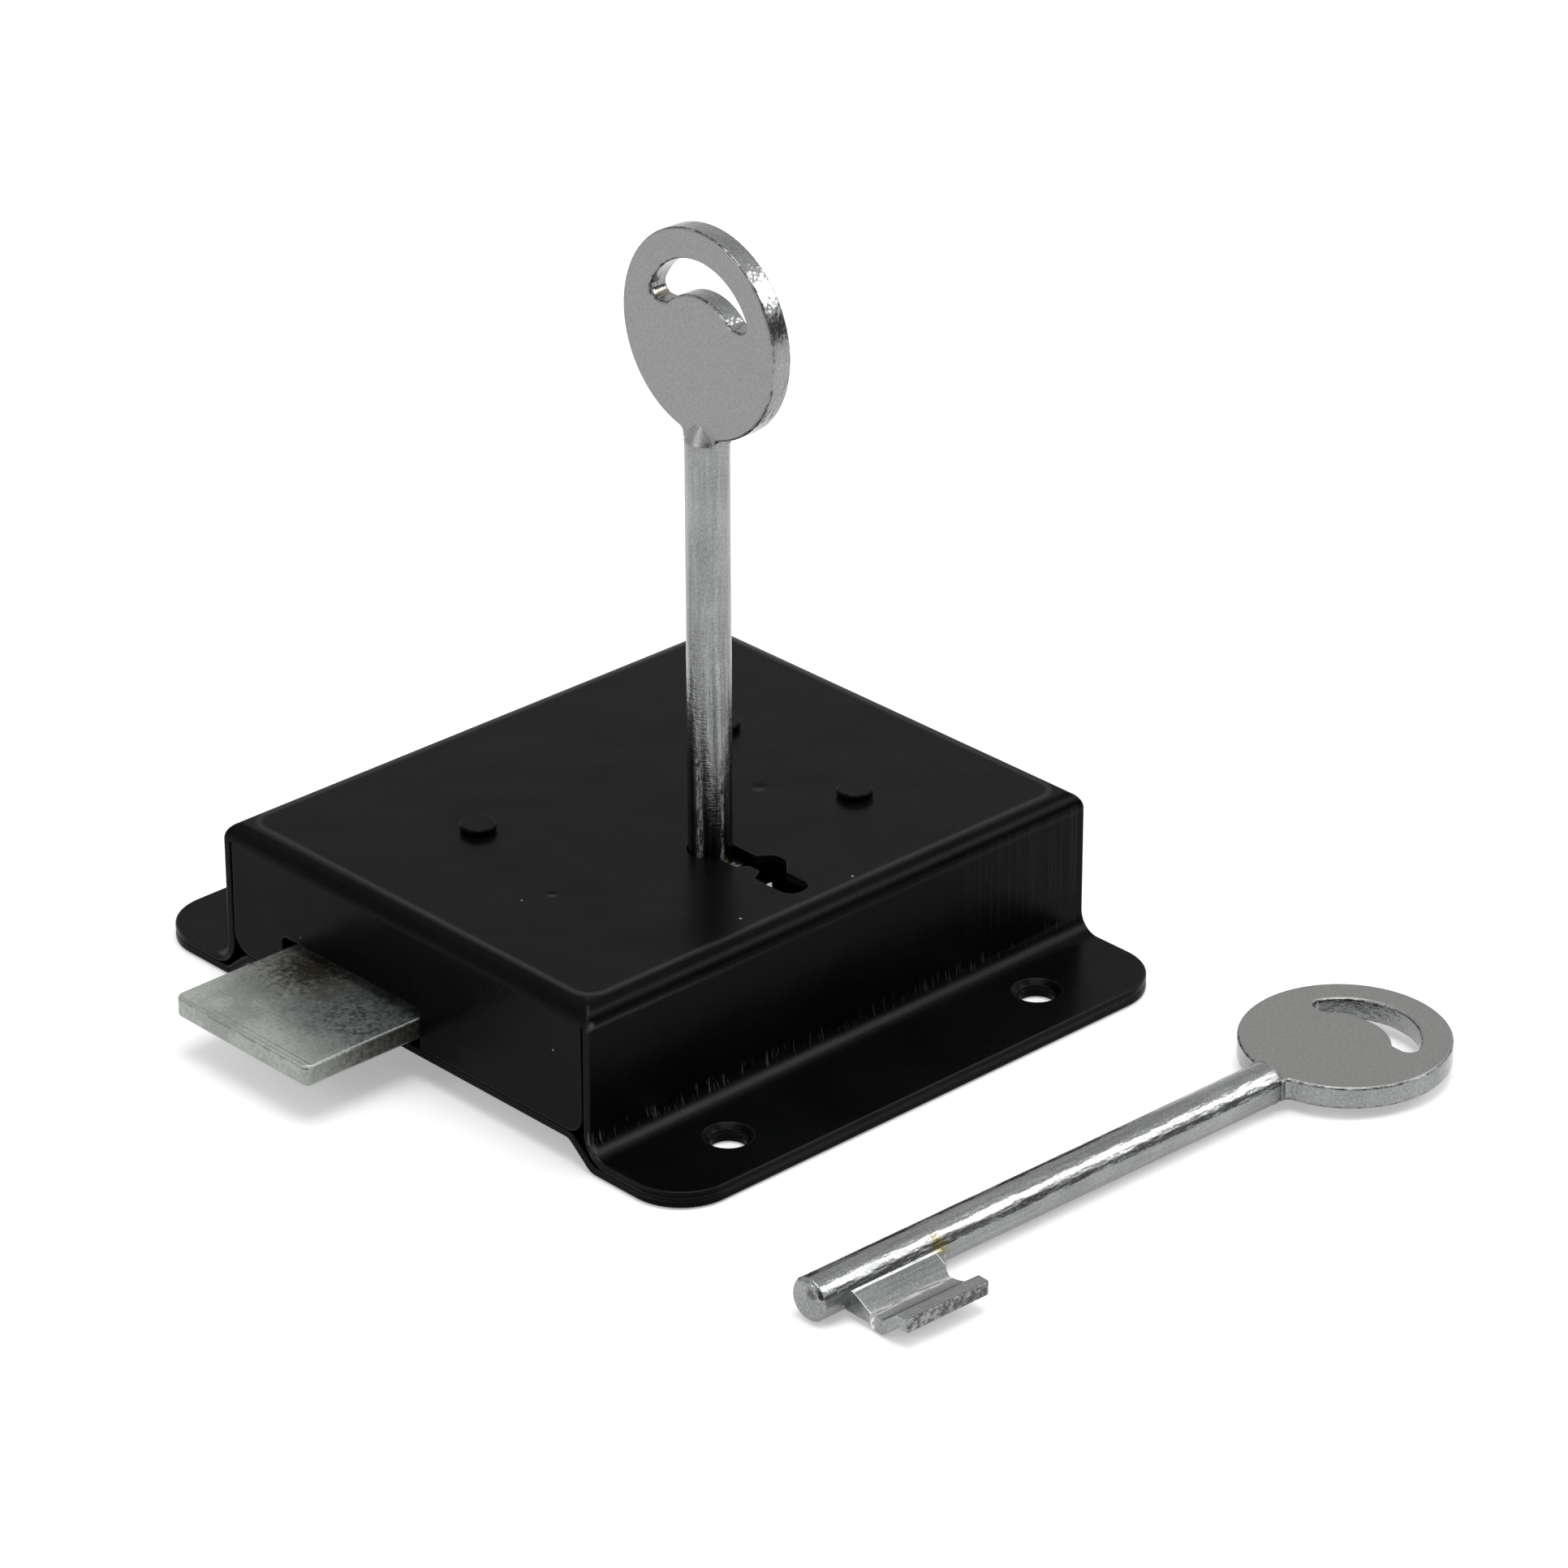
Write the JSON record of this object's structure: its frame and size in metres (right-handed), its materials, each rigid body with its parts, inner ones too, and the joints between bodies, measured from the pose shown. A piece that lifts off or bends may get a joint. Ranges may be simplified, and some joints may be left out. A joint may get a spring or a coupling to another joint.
{
  "type": "rim lock with keys",
  "caption": "Surface-mounted lever rim lock in a black pressed case, its bolt thrown by the key in its keyhole, with a matching spare key beside it.",
  "frame": {"origin": "middle of the four screw holes, on the plane of the door that the lock is screwed to", "axes": "+Z out of the door towards the cover and the key's bow, +X the way the bolt shoots, +Y towards the side that the key's bit points to"},
  "size_m": [0.1245, 0.1524, 0.1125],
  "materials": {
    "black_paint": "satin",
    "bolt_steel": "dull, stained near the case",
    "nickel_plate": "satin with polished edges",
    "inner_steel": "plain",
    "spring_steel": "blued"
  },
  "bodies": {
    "case": {"case_cap": "black_paint", "back_plate": "black_paint", "front_pillar": "black_paint", "rear_pillar": "black_paint", "lever_pillar": "black_paint", "front_washer": "inner_steel", "rear_washer": "inner_steel", "front_sleeve": "inner_steel", "rear_sleeve": "inner_steel", "lever_foot_sleeve": "inner_steel", "upper_lever_washer": "inner_steel", "lever_head_sleeve": "inner_steel"},
    "bolt": {"bolt": "bolt_steel", "bolt_stump": "inner_steel"},
    "key": {"key": "nickel_plate"},
    "lower_lever": {"lower_lever": "inner_steel", "lower_lever_spring": "spring_steel"},
    "upper_lever": {"upper_lever": "inner_steel", "upper_lever_spring": "spring_steel"},
    "spare_key": {"spare_key": "nickel_plate"}
  },
  "joints": [
    {"name": "key_turn", "type": "hinge", "parent": "case", "child": "key", "pos_m": [0.0029, 0.0141, 0], "axis": [0, 0, 1], "range_deg": [-360, 0]},
    {"name": "bolt_slide", "type": "slide", "parent": "case", "child": "bolt", "axis": [1, 0, 0], "range_m": [-0.018, 0]},
    {"name": "lower_lever_swing", "type": "hinge", "parent": "case", "child": "lower_lever", "pos_m": [-0.0217, 0.0162, 0], "axis": [0, 0, 1], "range_deg": [0, 5.5], "stiffness_Nm_per_rad": 0.03, "springref_deg": 22.92},
    {"name": "upper_lever_swing", "type": "hinge", "parent": "case", "child": "upper_lever", "pos_m": [-0.0217, 0.0162, 0], "axis": [0, 0, 1], "range_deg": [0, 5.5], "stiffness_Nm_per_rad": 0.03, "springref_deg": 22.92},
    {"name": "spare_key_lift", "type": "slide", "parent": "case", "child": "spare_key", "axis": [0, 0, 1], "range_m": [0, 0.12]}
  ],
  "couplings": [
    {"joint": "key_turn", "follows": "bolt_slide", "rad_per_m": 349.07}
  ]
}
